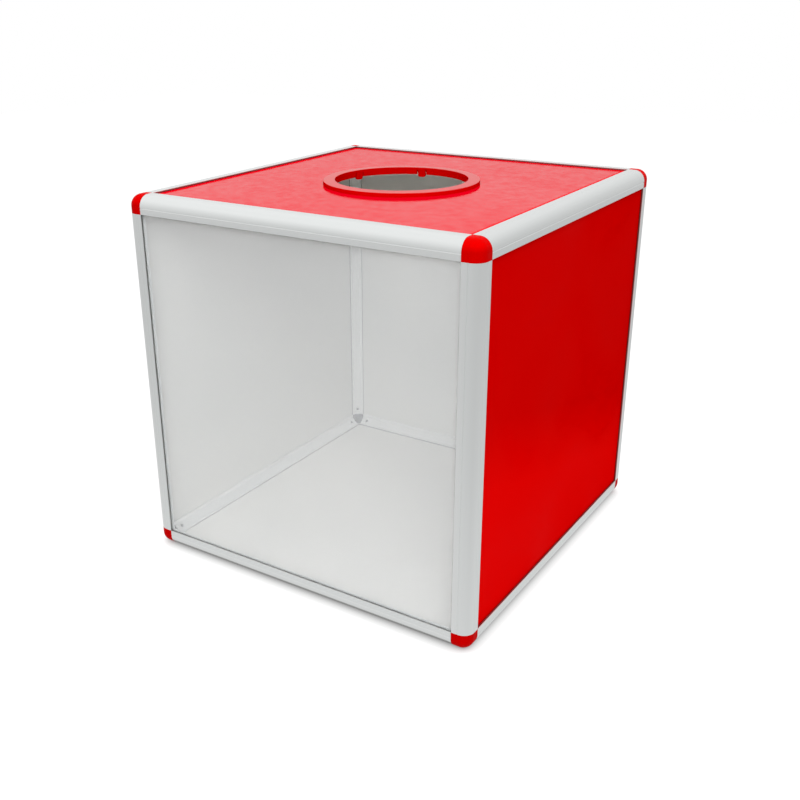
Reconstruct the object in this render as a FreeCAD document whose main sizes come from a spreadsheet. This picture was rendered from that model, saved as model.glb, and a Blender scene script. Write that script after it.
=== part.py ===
import FreeCAD, Part
import math
import os
import re
import Sketcher

# Raffle box, millimetres.
# Twelve aluminium edge profiles make a box that is nearly a cube. Three-way connectors hold them at
# the corners, under red corner caps. Five boards with a red outer skin and a clear front window sit
# in the profiles' slots, and a snap-in collar lines the hand hole in the top.
# Origin: centre of the footprint, on the surface that the box stands on. +Z is up, +X is to the
# right of the clear window, and the window faces -Y.

SIZES = {
    # The whole box, without the collar that stands proud of its top.
    "box_width": 300,
    "box_depth": 305,
    "box_height": 299,
    # Edge profile, seen end on: distances inwards from its two outer faces.
    "profile_face": 14.2,
    "edge_radius": 9,
    "lip_thickness": 1.5,
    "lip_radius": 0.2,
    "slot_depth": 5,
    "inner_lip": 1.2,
    "web_inset": 3,
    "profile_wall": 1.5,
    "groove_offset": 0.1,
    "groove_width": 0.7,
    "groove_depth": 0.3,
    # Gap between a profile's cut end and the corner cap.
    "rail_gap": 0.1,
    # Boards, with their skins, and the thinner window, which rests on the slot's inner side.
    "panel_thickness": 3.4,
    "skin_thickness": 0.4,
    "window_thickness": 3,
    "panel_clearance": 0.1,
    "panel_margin": 0.5,
    # Corner cap and three-way connector.
    "cap_wall": 1.5,
    "fit_gap": 0.1,
    "arm_length": 22,
    "peg_radius": 1.5,
    "peg_length": 5,
    # Countersunk screw through the profile's inner web into the connector's arm.
    "screw_from_end": 6,
    "screw_head_radius": 1.8,
    "screw_head_rim": 0.2,
    "screw_head_depth": 1,
    "screw_shank_radius": 1.1,
    "screw_length": 6,
    "screw_tip": 1,
    "pilot_gap": 0.03,
    # Hand-hole collar.
    "opening_diameter": 105.2,
    "flange_width": 9.4,
    "flange_height": 3.4,
    "flange_drop": 0.35,
    "flange_skin": 2,
    "flange_rim": 1.8,
    "flange_edge": 0.4,
    "collar_wall": 1.8,
    "collar_depth": 5.65,
    "hole_clearance": 0.3,
    "tab_count": 6,
    "tab_turn": 42.6,
    "tab_width": 6.5,
    "tab_drop": 2.1,
    "tab_corner": 1.8,
    "tab_lead": 0.4,
    "slit_width": 0.9,
    "bead_clearance": 0.1,
    "bead_height": 1.6,
    "bead_flat": 0.6,
}

# Sizes that follow from the ones above.
DERIVED = {
    "slot_width": "panel_thickness + 2 * panel_clearance",
    "slot_floor": "profile_face - slot_depth",
    "inner_face": "lip_thickness + slot_width + inner_lip",
    "web_start": "profile_face - web_inset",
    "web_sum": "web_start + inner_face",
    "hollow_radius": "edge_radius - profile_wall",
    "hollow_side": "min(slot_floor - profile_wall; web_sum / 2 - profile_wall / sqrt(2))",
    "rail_start": "profile_face + rail_gap",
    "panel_depth": "lip_thickness + panel_clearance",
    "board_thickness": "panel_thickness - skin_thickness",
    "panel_inset": "slot_floor + panel_margin",
    "panel_notch": "profile_face + panel_clearance - panel_inset",
    "screw_place": "rail_start + screw_from_end",
    "opening_radius": "opening_diameter / 2",
    "collar_outside": "opening_radius + collar_wall",
    "hole_radius": "collar_outside + hole_clearance",
    "flange_radius": "opening_radius + flange_width",
    "collar_top": "tab_drop + collar_depth",
    "flange_seat": "collar_top - flange_height",
    "flange_ceiling": "collar_top - flange_skin",
    "bead_outside": "hole_radius - bead_clearance",
    "bead_middle": "flange_seat - panel_thickness / 2",
    "peg_root": "edge_radius * (sqrt(3) - 1) + cap_wall / 2",
    "peg_end": "edge_radius * (sqrt(3) - 1) + cap_wall + peg_length",
}

BOX_SIZE = {"x": "box_width", "y": "box_depth", "z": "box_height"}
# Each axis with the two that follow it, so that the first crossed with the second gives the third.
CYCLE = {"x": ("y", "z", "x"), "y": ("z", "x", "y"), "z": ("x", "y", "z")}
UNIT = {"x": FreeCAD.Vector(1, 0, 0), "y": FreeCAD.Vector(0, 1, 0), "z": FreeCAD.Vector(0, 0, 1)}
SIDE_NAME = {("x", -1): "left", ("x", 1): "right", ("y", -1): "front", ("y", 1): "back",
             ("z", -1): "bottom", ("z", 1): "top"}

doc = FreeCAD.newDocument("RaffleBox")
sheet = doc.addObject("Spreadsheet::Sheet", "Sizes")
for row, (alias, number) in enumerate(SIZES.items(), start=1):
    sheet.set(f"A{row}", alias)
    sheet.set(f"B{row}", str(number))
    sheet.setAlias(f"B{row}", alias)
doc.recompute()


def expression(text):
    """Turns a text of size names into an expression on the sheet's cells."""
    def swap(match):
        word = match.group(0)
        if word in DERIVED:
            return "(" + expression(DERIVED[word]) + ")"
        return "Sizes." + word if word in SIZES else word
    return re.sub(r"[a-z_]+", swap, text)


def value(text):
    """The present value of a text of size names."""
    return float(sheet.evalExpression(expression(text)))


def place_at(axis, side, depth):
    """Where a point lies along an axis, at a depth inwards from the box's face on that side."""
    if axis == "z":
        return f"box_height - ({depth})" if side > 0 else depth
    half = f"{BOX_SIZE[axis]} / 2 - ({depth})"
    return half if side > 0 else f"-({half})"


def turn(x_axis, y_axis):
    """The rotation that lays a piece's own X and Y along two given directions."""
    z_axis = x_axis.cross(y_axis)
    return FreeCAD.Rotation(FreeCAD.Matrix(
        x_axis.x, y_axis.x, z_axis.x, 0,
        x_axis.y, y_axis.y, z_axis.y, 0,
        x_axis.z, y_axis.z, z_axis.z, 0,
        0, 0, 0, 1))


def aim(direction, across):
    """The rotation that points a piece's own Z along a direction, with its X across it."""
    direction = FreeCAD.Vector(direction).normalize()
    across = FreeCAD.Vector(across).normalize()
    return turn(across, direction.cross(across))


def put(piece, rotation, **base):
    """Places a piece: a fixed rotation, and an origin that follows the sizes."""
    piece.Placement = FreeCAD.Placement(FreeCAD.Vector(), rotation)
    for axis, text in base.items():
        piece.setExpression(f"Placement.Base.{axis}", expression(text))


# Sketching


def new_sketch(body, name, role, offset="0"):
    """An empty sketch on one of the body's own origin planes, moved along that plane's normal."""
    sketch = body.newObject("Sketcher::SketchObject", name)
    plane = next(item for item in body.Origin.OriginFeatures if item.Role == role)
    sketch.AttachmentSupport = [(plane, "")]
    sketch.MapMode = "FlatFace"
    if offset != "0":
        sketch.setExpression("AttachmentOffset.Base.z", expression(offset))
    return sketch


def bind(sketch, constraint, text):
    """Adds a dimension that follows a size."""
    index = sketch.addConstraint(constraint)
    label = f"size_{index}"
    sketch.renameConstraint(index, label)
    sketch.setExpression(f"Constraints.{label}", expression(text))


def fix(sketch, edge, point, direction, text):
    """Holds a point's distance from the sketch's origin along X or Y."""
    axis_line = {"X": -2, "Y": -1}[direction]
    if text == "0":
        sketch.addConstraint(Sketcher.Constraint("PointOnObject", edge, point, axis_line))
    elif text.startswith("-"):
        distance = text[1:]
        constraint = Sketcher.Constraint("Distance" + direction, edge, point, -1, 1, value(distance))
        bind(sketch, constraint, distance)
    else:
        bind(sketch, Sketcher.Constraint("Distance" + direction, -1, 1, edge, point, value(text)), text)


def draw_loop(sketch, outline):
    """Draws a closed outline anticlockwise, with a straight edge from each corner to the next.

    A corner is (x, y), or (x, y, "x") where an arc ends and only x is held, or (x, y, "y").
    An arc stands between its two corners: ("arc", centre x, centre y, radius).
    """
    corners = []
    arcs = {}
    for item in outline:
        if item[0] == "arc":
            arcs[len(corners) - 1] = item[1:]
        else:
            corners.append(item)
    points = [FreeCAD.Vector(value(corner[0]), value(corner[1]), 0) for corner in corners]
    edges = []
    for number, start in enumerate(points):
        end = points[(number + 1) % len(points)]
        if number in arcs:
            centre_x, centre_y, radius = arcs[number]
            centre = FreeCAD.Vector(value(centre_x), value(centre_y), 0)
            circle = Part.Circle(centre, FreeCAD.Vector(0, 0, 1), value(radius))
            first = circle.parameter(start)
            last = circle.parameter(end)
            if last <= first:
                last += 2 * math.pi
            edges.append(sketch.addGeometry(Part.ArcOfCircle(circle, first, last), False))
        else:
            edges.append(sketch.addGeometry(Part.LineSegment(start, end), False))
    for number, edge in enumerate(edges):
        following = edges[(number + 1) % len(edges)]
        sketch.addConstraint(Sketcher.Constraint("Coincident", edge, 2, following, 1))
    for number, corner in enumerate(corners):
        held = corner[2] if len(corner) > 2 else "xy"
        if "x" in held:
            fix(sketch, edges[number], 1, "X", corner[0])
        if "y" in held:
            fix(sketch, edges[number], 1, "Y", corner[1])
    for number, (centre_x, centre_y, radius) in arcs.items():
        fix(sketch, edges[number], 3, "X", centre_x)
        fix(sketch, edges[number], 3, "Y", centre_y)
        bind(sketch, Sketcher.Constraint("Radius", edges[number], value(radius)), radius)


def draw_circle(sketch, centre_x, centre_y, radius):
    """Draws a full circle."""
    centre = FreeCAD.Vector(value(centre_x), value(centre_y), 0)
    circle = sketch.addGeometry(Part.Circle(centre, FreeCAD.Vector(0, 0, 1), value(radius)), False)
    fix(sketch, circle, 3, "X", centre_x)
    fix(sketch, circle, 3, "Y", centre_y)
    bind(sketch, Sketcher.Constraint("Radius", circle, value(radius)), radius)


def pad(body, sketch, name, length):
    """Raises a sketch along its normal."""
    feature = body.newObject("PartDesign::Pad", name)
    feature.Profile = sketch
    feature.setExpression("Length", expression(length))
    return feature


def revolve(body, sketch, name, angle=None):
    """Turns a sketch about its own vertical axis: all the way, or by an angle shared to both sides."""
    feature = body.newObject("PartDesign::Revolution", name)
    feature.Profile = sketch
    feature.ReferenceAxis = (sketch, ["V_Axis"])
    feature.Angle = 360
    if angle:
        feature.setExpression("Angle", expression(angle))
        feature.Midplane = True
    return feature


def boolean(kind, name, pieces):
    """A cut or common of two pieces, or a fuse or compound of several."""
    feature = doc.addObject("Part::" + kind, name)
    if kind in ("Cut", "Common"):
        feature.Base, feature.Tool = pieces
    elif kind == "Compound":
        feature.Links = pieces
    else:
        feature.Shapes = pieces
    return feature


def lay(name, piece, rotation, **base):
    """A copy of a finished piece in a place of its own."""
    copy = boolean("Compound", name, [piece])
    put(copy, rotation, **base)
    return copy


# Edge profiles: outer quarter round, two lips with a slot behind each, and a slanted web inside


def half_profile():
    """The corners of one flange of the profile, from the quarter round to the end of the web."""
    return [
        ("edge_radius + groove_offset", "0"),
        ("edge_radius + groove_offset + groove_width / 2", "groove_depth"),
        ("edge_radius + groove_offset + groove_width", "0"),
        ("profile_face - lip_radius", "0", "x"),
        ("arc", "profile_face - lip_radius", "lip_radius", "lip_radius"),
        ("profile_face", "lip_radius", "y"),
        ("profile_face", "lip_thickness"),
        ("slot_floor", "lip_thickness"),
        ("slot_floor", "lip_thickness + slot_width"),
        ("profile_face", "lip_thickness + slot_width"),
        ("profile_face", "inner_face"),
        ("web_start", "inner_face"),
    ]


def mirrored(outline):
    """The outline's mirror image across the profile's diagonal, drawn the other way round."""
    other_axis = {"x": "y", "y": "x"}
    image = []
    for item in reversed(outline):
        if item[0] == "arc":
            kind, centre_x, centre_y, radius = item
            image.append((kind, centre_y, centre_x, radius))
        else:
            image.append((item[1], item[0], *[other_axis[held] for held in item[2:]]))
    return image


def draw_profile(sketch):
    """The whole section: one flange, its mirror image, and the quarter round between them."""
    outer_round = [
        ("0", "edge_radius", "y"),
        ("arc", "edge_radius", "edge_radius", "edge_radius"),
        ("edge_radius", "0", "x"),
    ]
    draw_loop(sketch, half_profile() + mirrored(half_profile()) + outer_round)
    draw_hollow(sketch, "0")


def draw_hollow(sketch, gap):
    """The hollow in the profile, or what fills it, smaller by a gap all round."""
    side = f"hollow_side - {gap}"
    radius = f"hollow_radius - {gap}"
    reach = f"edge_radius - sqrt(({radius}) ^ 2 - (edge_radius - ({side})) ^ 2)"
    draw_loop(sketch, [
        (reach, side, "y"), ("arc", "edge_radius", "edge_radius", radius), (side, reach, "x"), (side, side),
    ])


def make_screw(name, gap):
    """A countersunk screw along +Z with its head's face at Z = 0, or the hole for it, wider by a gap."""
    body = doc.addObject("PartDesign::Body", name)
    section = new_sketch(body, name + "_section", "XZ_Plane")
    draw_loop(section, [
        ("0", "0"),
        (f"screw_head_radius + {gap}", "0"),
        (f"screw_head_radius + {gap}", "screw_head_rim"),
        (f"screw_shank_radius + {gap}", "screw_head_depth"),
        (f"screw_shank_radius + {gap}", f"screw_length - screw_tip + {gap}"),
        ("0", f"screw_length + {gap}"),
    ])
    revolve(body, section, name + "_turned")
    return body


def make_rail(name, axis):
    """One length of edge profile, long enough for its axis, with a screw hole in its web near each end."""
    length = f"{BOX_SIZE[axis]} - 2 * rail_start"
    body = doc.addObject("PartDesign::Body", name + "_profile")
    section = new_sketch(body, name + "_section", "XY_Plane")
    draw_profile(section)
    pad(body, section, name + "_length", length)
    outward = aim(UNIT["x"] * -1 + UNIT["y"] * -1, UNIT["z"])
    holes = [
        lay(f"{name}_{end}_hole", screw_hole, outward, x="web_sum / 2", y="web_sum / 2", z=height)
        for end, height in (("near", "screw_from_end"), ("far", f"{length} - screw_from_end"))
    ]
    return boolean("Cut", name, (body, boolean("Compound", name + "_holes", holes)))


def lay_rail(name, rail, axis, side_one, side_two):
    """Lays a length of profile along one edge of the box, its round side outwards."""
    first, second, along = CYCLE[axis]
    start_side = -1 if side_one * side_two > 0 else 1
    return lay(name, rail, turn(UNIT[first] * -side_one, UNIT[second] * -side_two), **{
        first: place_at(first, side_one, "0"),
        second: place_at(second, side_two, "0"),
        along: place_at(along, start_side, "rail_start"),
    })


# Corners: a red cap outside, and a three-way connector whose arms sit in the hollow profiles


def make_block(name, near, far, radius):
    """A cube from one depth to another along X, Y and Z, rounded at its near corner."""
    body = doc.addObject("PartDesign::Body", name)
    square = new_sketch(body, name + "_square", "XY_Plane", near)
    draw_loop(square, [(near, near), (far, near), (far, far), (near, far)])
    cube = pad(body, square, name + "_cube", f"{far} - ({near})")
    doc.recompute()
    corner = FreeCAD.Vector(1, 1, 1) * value(near)
    meeting = [
        f"Edge{number}" for number, edge in enumerate(cube.Shape.Edges, start=1)
        if min(vertex.Point.distanceToPoint(corner) for vertex in edge.Vertexes) < 1e-6
    ]
    rounding = body.newObject("PartDesign::Fillet", name + "_rounding")
    rounding.Base = (cube, meeting)
    rounding.setExpression("Radius", expression(radius))
    body.Tip = rounding
    return body


def make_diagonal(name, radius, start, end):
    """A round bar along the corner's diagonal, between two distances from the corner's point."""
    bar = doc.addObject("Part::Cylinder", name)
    bar.setExpression("Radius", expression(radius))
    bar.setExpression("Height", expression(f"{end} - ({start})"))
    step = f"({start}) / sqrt(3)"
    put(bar, aim(FreeCAD.Vector(1, 1, 1), FreeCAD.Vector(1, -1, 0)), x=step, y=step, z=step)
    return bar


def make_cap(name):
    """A corner cap: a rounded shell with a peg inside that plugs it into the connector."""
    outside = make_block(name + "_outside", "0", "profile_face", "edge_radius")
    inside = make_block(name + "_inside", "cap_wall", "profile_face + cap_wall", "edge_radius - cap_wall")
    shell = boolean("Cut", name + "_shell", (outside, inside))
    peg = make_diagonal(name + "_peg", "peg_radius", "peg_root", "peg_end")
    return boolean("MultiFuse", name, [shell, peg])


def make_connector(name):
    """A three-way connector: a core inside the cap, and an arm into each of three profiles."""
    start = "cap_wall + fit_gap"
    block = make_block(name + "_block", start, "profile_face", f"edge_radius - ({start})")
    reach = make_diagonal(name + "_reach", "2 * profile_face", "0", "(profile_face + web_sum) / sqrt(3)")
    solids = [boolean("Common", name + "_core", (block, reach))]
    holes = [make_diagonal(name + "_peg_hole", "peg_radius + fit_gap", "peg_root", "peg_end + fit_gap")]
    arm = doc.addObject("PartDesign::Body", name + "_arm")
    section = new_sketch(arm, name + "_arm_section", "XY_Plane", "profile_face")
    draw_hollow(section, "fit_gap")
    pad(arm, section, name + "_arm_length", "arm_length")
    for axis, (first, second, along) in CYCLE.items():
        solids.append(lay(f"{name}_arm_{axis}", arm, turn(UNIT[first], UNIT[second])))
        outward = aim(UNIT[first] * -1 + UNIT[second] * -1, UNIT[along])
        holes.append(lay(f"{name}_hole_{axis}", screw_hole, outward, **{
            first: "web_sum / 2", second: "web_sum / 2", along: "screw_place"}))
    body = boolean("MultiFuse", name + "_solid", solids)
    return boolean("Cut", name, (body, boolean("Compound", name + "_holes", holes)))


def lay_in_corner(name, piece, sides):
    """Lays a piece made with its corner at the origin into one corner of the box."""
    inward = [UNIT[axis] * -side for axis, side in zip("xyz", sides)]
    left_handed = sides[0] * sides[1] * sides[2] > 0
    first, second = (inward[1], inward[0]) if left_handed else (inward[0], inward[1])
    return lay(name, piece, turn(first, second),
               **{axis: place_at(axis, side, "0") for axis, side in zip("xyz", sides)})


def lay_screws(name, screw, rails):
    """All the connector screws as one group of separate solids, one at each end of every profile."""
    screws = []
    for rail_name, axis, side_one, side_two in rails:
        first, second, along = CYCLE[axis]
        outward = aim(UNIT[first] * side_one + UNIT[second] * side_two, UNIT[along])
        for end_side, end in ((-1, "near"), (1, "far")):
            screws.append(lay(f"{rail_name}_{end}_screw", screw, outward, **{
                first: place_at(first, side_one, "web_sum / 2"),
                second: place_at(second, side_two, "web_sum / 2"),
                along: place_at(along, end_side, "screw_place"),
            }))
    return boolean("Compound", name, screws)


# Boards, their red skins and the clear window: flat sheets held in the slots, notched at the corners


def make_sheet(name, axis, side, inner_depth, thickness, holed=False):
    """A sheet parallel to one face of the box, its inner side at a depth, its thickness outwards."""
    first, second, outward = CYCLE[axis]
    if side < 0:
        first, second = second, first
    length = f"({BOX_SIZE[first]} - 2 * panel_inset)"
    width = f"({BOX_SIZE[second]} - 2 * panel_inset)"
    notch = "panel_notch"
    body = doc.addObject("PartDesign::Body", name)
    outline = new_sketch(body, name + "_outline", "XY_Plane")
    draw_loop(outline, [
        (notch, "0"), (f"{length} - {notch}", "0"), (f"{length} - {notch}", notch), (length, notch),
        (length, f"{width} - {notch}"), (f"{length} - {notch}", f"{width} - {notch}"),
        (f"{length} - {notch}", width), (notch, width), (notch, f"{width} - {notch}"),
        ("0", f"{width} - {notch}"), ("0", notch), (notch, notch),
    ])
    if holed:
        draw_circle(outline, f"{length} / 2", f"{width} / 2", "hole_radius")
    pad(body, outline, name + "_thickness", thickness)
    put(body, turn(UNIT[first], UNIT[second]), **{
        first: place_at(first, -1, "panel_inset"),
        second: place_at(second, -1, "panel_inset"),
        outward: place_at(axis, side, inner_depth),
    })
    return body


# Hand-hole collar: a cored flange, a short wall down the hole, and snap tabs between slits


def make_collar(name):
    """The collar, made with the bottom of its tabs at Z = 0 and seated in the top board's hole."""
    body = doc.addObject("PartDesign::Body", name)
    ring = new_sketch(body, name + "_ring_section", "XZ_Plane")
    shoulder = "collar_top - flange_drop"
    draw_loop(ring, [
        ("opening_radius", "tab_drop"),
        ("collar_outside", "tab_drop"),
        ("collar_outside", "flange_ceiling"),
        ("flange_radius - flange_rim", "flange_ceiling"),
        ("flange_radius - flange_rim", "flange_seat"),
        ("flange_radius", "flange_seat"),
        ("flange_radius", f"{shoulder} - flange_edge", "y"),
        ("arc", "flange_radius - flange_edge", f"{shoulder} - flange_edge", "flange_edge"),
        ("flange_radius - flange_edge", shoulder, "x"),
        ("opening_radius + flange_edge", "collar_top", "x"),
        ("arc", "opening_radius + flange_edge", "collar_top - flange_edge", "flange_edge"),
        ("opening_radius", "collar_top - flange_edge", "y"),
    ])
    revolve(body, ring, name + "_ring")

    strip = new_sketch(body, name + "_tab_section", "XZ_Plane")
    draw_loop(strip, [
        ("opening_radius", "0"),
        ("collar_outside - tab_lead", "0"),
        ("collar_outside", "tab_lead"),
        ("collar_outside", "bead_middle - bead_height / 2"),
        ("bead_outside", "bead_middle - bead_flat / 2"),
        ("bead_outside", "bead_middle + bead_flat / 2"),
        ("collar_outside", "bead_middle + bead_height / 2"),
        ("opening_radius", "bead_middle + bead_height / 2"),
    ])
    tab = revolve(body, strip, name + "_tab", "2 * asin(tab_width / 2 / opening_radius)")

    # The slits are cut outwards, from one slit's width inside the wall to one outside the bead.
    cuts = new_sketch(body, name + "_slit_outline", "YZ_Plane", "opening_radius - slit_width")
    inner = "(tab_width / 2)"
    outer = "(tab_width / 2 + slit_width)"
    bend = "(tab_width / 2 - tab_corner)"
    below = "-(slit_width)"
    draw_loop(cuts, [
        (bend, "0", "x"), ("arc", bend, "tab_corner", "tab_corner"), (inner, "tab_corner", "y"),
        (inner, "flange_ceiling"), (outer, "flange_ceiling"), (outer, below), (bend, below),
    ])
    draw_loop(cuts, [
        ("-" + inner, "tab_corner", "y"), ("arc", "-" + bend, "tab_corner", "tab_corner"),
        ("-" + bend, "0", "x"), ("-" + bend, below), ("-" + outer, below),
        ("-" + outer, "flange_ceiling"), ("-" + inner, "flange_ceiling"),
    ])
    slits = body.newObject("PartDesign::Pocket", name + "_slits")
    slits.Profile = cuts
    slits.Type = "Length"
    slits.Reversed = True
    slits.setExpression("Length", expression("bead_outside - opening_radius + 2 * slit_width"))
    doc.recompute()
    if slits.Shape.Volume >= tab.Shape.Volume:
        raise RuntimeError("the slits cut nothing")

    tabs = body.newObject("PartDesign::PolarPattern", name + "_tabs")
    tabs.Originals = [tab, slits]
    tabs.Axis = (next(item for item in body.Origin.OriginFeatures if item.Role == "Z_Axis"), [""])
    tabs.Angle = 360
    tabs.setExpression("Occurrences", expression("tab_count"))
    body.Tip = tabs
    put(body, FreeCAD.Rotation(UNIT["z"], value("tab_turn")), z="box_height - panel_depth - flange_seat")
    return body


# The assembly: one master of each repeated piece, laid in each of its places

screw_hole = make_screw("screw_hole", "pilot_gap")
screw = make_screw("screw", "0")
cap = make_cap("corner_cap")
connector = make_connector("connector")
nodes = []

edges = []
for rail_axis, (first_axis, second_axis, _) in CYCLE.items():
    rail = make_rail("edge_along_" + rail_axis, rail_axis)
    for first_side in (-1, 1):
        for second_side in (-1, 1):
            sides = {first_axis: first_side, second_axis: second_side}
            words = [SIDE_NAME[axis, sides[axis]] for axis in "zyx" if axis in sides]
            edge_name = "_".join(["post" if rail_axis == "z" else "rail"] + words)
            edges.append((edge_name, rail_axis, first_side, second_side))
            nodes.append(lay_rail(edge_name, rail, rail_axis, first_side, second_side))
nodes.append(lay_screws("connector_screws", screw, edges))

for height_side in (-1, 1):
    for depth_side in (-1, 1):
        for width_side in (-1, 1):
            corner = (width_side, depth_side, height_side)
            words = "_".join(SIDE_NAME[axis, side] for axis, side in zip("zyx", reversed(corner)))
            nodes.append(lay_in_corner("corner_cap_" + words, cap, corner))
            nodes.append(lay_in_corner("connector_" + words, connector, corner))

for (face_axis, face_side), face_name in SIDE_NAME.items():
    inner_side = "panel_depth + panel_thickness"
    if face_name == "front":
        nodes.append(make_sheet("front_window", face_axis, face_side, inner_side, "window_thickness"))
        continue
    holed = face_name == "top"
    skin_side = "panel_depth + skin_thickness"
    for piece_name, depth, thickness in (
            (face_name + "_board", inner_side, "board_thickness"),
            (face_name + "_skin", skin_side, "skin_thickness")):
        nodes.append(make_sheet(piece_name, face_axis, face_side, depth, thickness, holed))
nodes.append(make_collar("hand_collar"))
doc.recompute()

# Every feature has to be sound before anything is written.
for item in doc.Objects:
    if "Invalid" in item.State or "Error" in item.State:
        raise RuntimeError(f"{item.Name} failed: {item.State}")
for node in nodes:
    node.Label = node.Name
    if node.Shape.isNull() or not node.Shape.isValid():
        raise RuntimeError(f"{node.Name} has no valid shape")

os.makedirs("parts", exist_ok=True)
for node in nodes:
    node.Shape.exportStep(f"parts/{node.Label}.step")
    print(f"{node.Label}: {len(node.Shape.Solids)} solids, {node.Shape.Volume:.1f} mm3")
print(len(nodes), "nodes")
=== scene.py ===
# %% [markdown]
# A raffle box, dressed for its photograph
#
# The construction of the box is finished before this lesson starts: twelve lengths of aluminium edge
# profile, corner caps, boards, a clear window and a collar, each one a mesh at its real size. The
# lesson adds what makes them look real: how each surface is made and worn, the small cross-headed
# screws, and a studio to see them in. Nothing of the box is moved or resized.

import math
from itertools import product

import bmesh
import bpy
from mathutils import Matrix, Vector


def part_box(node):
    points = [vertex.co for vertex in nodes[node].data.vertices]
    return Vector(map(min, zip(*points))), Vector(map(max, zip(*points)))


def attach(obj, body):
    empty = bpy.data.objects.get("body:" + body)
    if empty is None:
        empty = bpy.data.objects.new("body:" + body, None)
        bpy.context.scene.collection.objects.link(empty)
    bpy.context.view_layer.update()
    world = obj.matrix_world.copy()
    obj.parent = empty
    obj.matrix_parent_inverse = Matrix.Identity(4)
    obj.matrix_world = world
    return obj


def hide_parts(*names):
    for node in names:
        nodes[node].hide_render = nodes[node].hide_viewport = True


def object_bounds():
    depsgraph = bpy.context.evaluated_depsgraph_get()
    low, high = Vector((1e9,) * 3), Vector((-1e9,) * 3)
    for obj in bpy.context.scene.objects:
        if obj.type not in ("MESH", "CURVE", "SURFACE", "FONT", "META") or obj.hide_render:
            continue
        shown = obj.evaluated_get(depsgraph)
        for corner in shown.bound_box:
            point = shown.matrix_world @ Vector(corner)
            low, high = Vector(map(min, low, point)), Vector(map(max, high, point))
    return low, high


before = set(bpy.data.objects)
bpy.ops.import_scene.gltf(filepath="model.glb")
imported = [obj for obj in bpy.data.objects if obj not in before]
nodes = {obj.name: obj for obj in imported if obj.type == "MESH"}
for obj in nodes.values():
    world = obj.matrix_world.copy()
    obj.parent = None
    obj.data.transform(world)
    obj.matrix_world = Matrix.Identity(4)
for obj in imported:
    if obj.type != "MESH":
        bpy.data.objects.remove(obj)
cad_low, cad_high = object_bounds()
MM = 0.001


def in_mm(lengths):
    """Lengths in millimetres, rounded to be printed."""
    return [round(length / MM, 2) for length in lengths]


print(len(nodes), "pieces,", in_mm(cad_high - cad_low), "mm")

# %% [markdown]
# The camera
#
# The box was photographed from nearly a metre away and a little above. A camera set by eye would come
# close, but then no edge falls where it should, so its place and its three angles are worked out from
# the straight edges of the box, for a lens of 45 mm. The picture was cropped after it was taken, so
# the middle of the lens isn't the middle of the frame, and a small shift puts it back.

# %% Set up the camera
CAMERA_PLACE = Vector((0.415701, -0.680892, 0.438890))
CAMERA_AZIMUTH = math.radians(33.7425)
CAMERA_ELEVATION = math.radians(22.5685)
CAMERA_ROLL = math.radians(-0.6873)
RIGHT_ANGLE = math.pi / 2
LENS_MM = 44.897
SENSOR_MM = 36
LENS_SHIFT = (0.0463, 0.0052)

lens = bpy.data.cameras.new("camera")
lens.lens = LENS_MM
lens.sensor_width = SENSOR_MM
lens.shift_x, lens.shift_y = LENS_SHIFT
camera = bpy.data.objects.new("camera", lens)
turn = Matrix.Rotation(CAMERA_AZIMUTH, 4, "Z") @ Matrix.Rotation(RIGHT_ANGLE - CAMERA_ELEVATION, 4, "X")
camera.matrix_world = Matrix.Translation(CAMERA_PLACE) @ turn @ Matrix.Rotation(CAMERA_ROLL, 4, "Z")
bpy.context.scene.collection.objects.link(camera)
bpy.context.scene.camera = camera
print("camera", round(CAMERA_PLACE.length, 3), "m from the middle of the footprint")

# %% [markdown]
# Helpers for node trees
#
# Materials, the world and the shared groups are all made of nodes. Written out one call at a time
# they fill pages, so a small helper adds a node and fills in its inputs: each is given a value, or
# another node's output to link. The nodes that come up most get a helper each, here or where they
# are first needed.

# %% Start a tree, and add to it
def adder(tree):
    """A function that adds a node to the tree. An input is a value, or an output to link."""
    def add(kind, inputs=None, **settings):
        node = tree.nodes.new(kind)
        for key, setting in settings.items():
            setattr(node, key, setting)
        for key, given in (inputs or {}).items():
            if isinstance(given, bpy.types.NodeSocket):
                tree.links.new(given, node.inputs[key])
            else:
                node.inputs[key].default_value = given
        return node
    return add


def new_tree(owner):
    """Empties the node tree of a material or a world, and returns the function that adds to it."""
    owner.use_nodes = True
    owner.node_tree.nodes.clear()
    return adder(owner.node_tree)


print("helpers that fill a tree: adder, new_tree")

# %% Arithmetic, ranges and mixed shaders
def calc(add, operation, *values):
    """The output of a Math node."""
    return add("ShaderNodeMath", dict(enumerate(values)), operation=operation).outputs[0]


def span(add, number, from_low, from_high, to_low, to_high):
    """A number carried from one range to another, held inside the second."""
    return add("ShaderNodeMapRange", {
        "Value": number, "From Min": from_low, "From Max": from_high, "To Min": to_low, "To Max": to_high,
    }).outputs["Result"]


def mix_shader(add, factor, first, second):
    """Two shaders mixed by a factor."""
    return add("ShaderNodeMixShader", {0: factor, 1: first, 2: second}).outputs[0]


print("helpers for single nodes: calc, span, mix_shader")

# %% [markdown]
# The studio
#
# The box was photographed on white, under large soft lights, and then cut out, which left only a
# narrow shadow along its foot. A picture of a real studio could light it, but a few shades of white
# do as well, and each can be set by itself. What the camera sees behind the box is pure white, also
# through the window. Glossy surfaces mirror a white that is dimmer near the horizon and a little
# brighter on the left. The light on the box is softer still, and comes a little more from the right.
# A Light Path node tells these rays apart.

# %% The surroundings
WHITE = (1, 1, 1, 1)
LEFT_TO_RIGHT = (-1.0, 1.0)
LIGHT_RISES = (-0.1, 0.9)
LIGHT_UPWARD = (0.40, 0.90)
LIGHT_RIGHTWARD = (0.82, 1.08)
MIRROR_RISES = (0.1, 0.6)
MIRROR_UPWARD = (0.82, 1.02)
MIRROR_RIGHTWARD = (1.14, 0.86)

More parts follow.
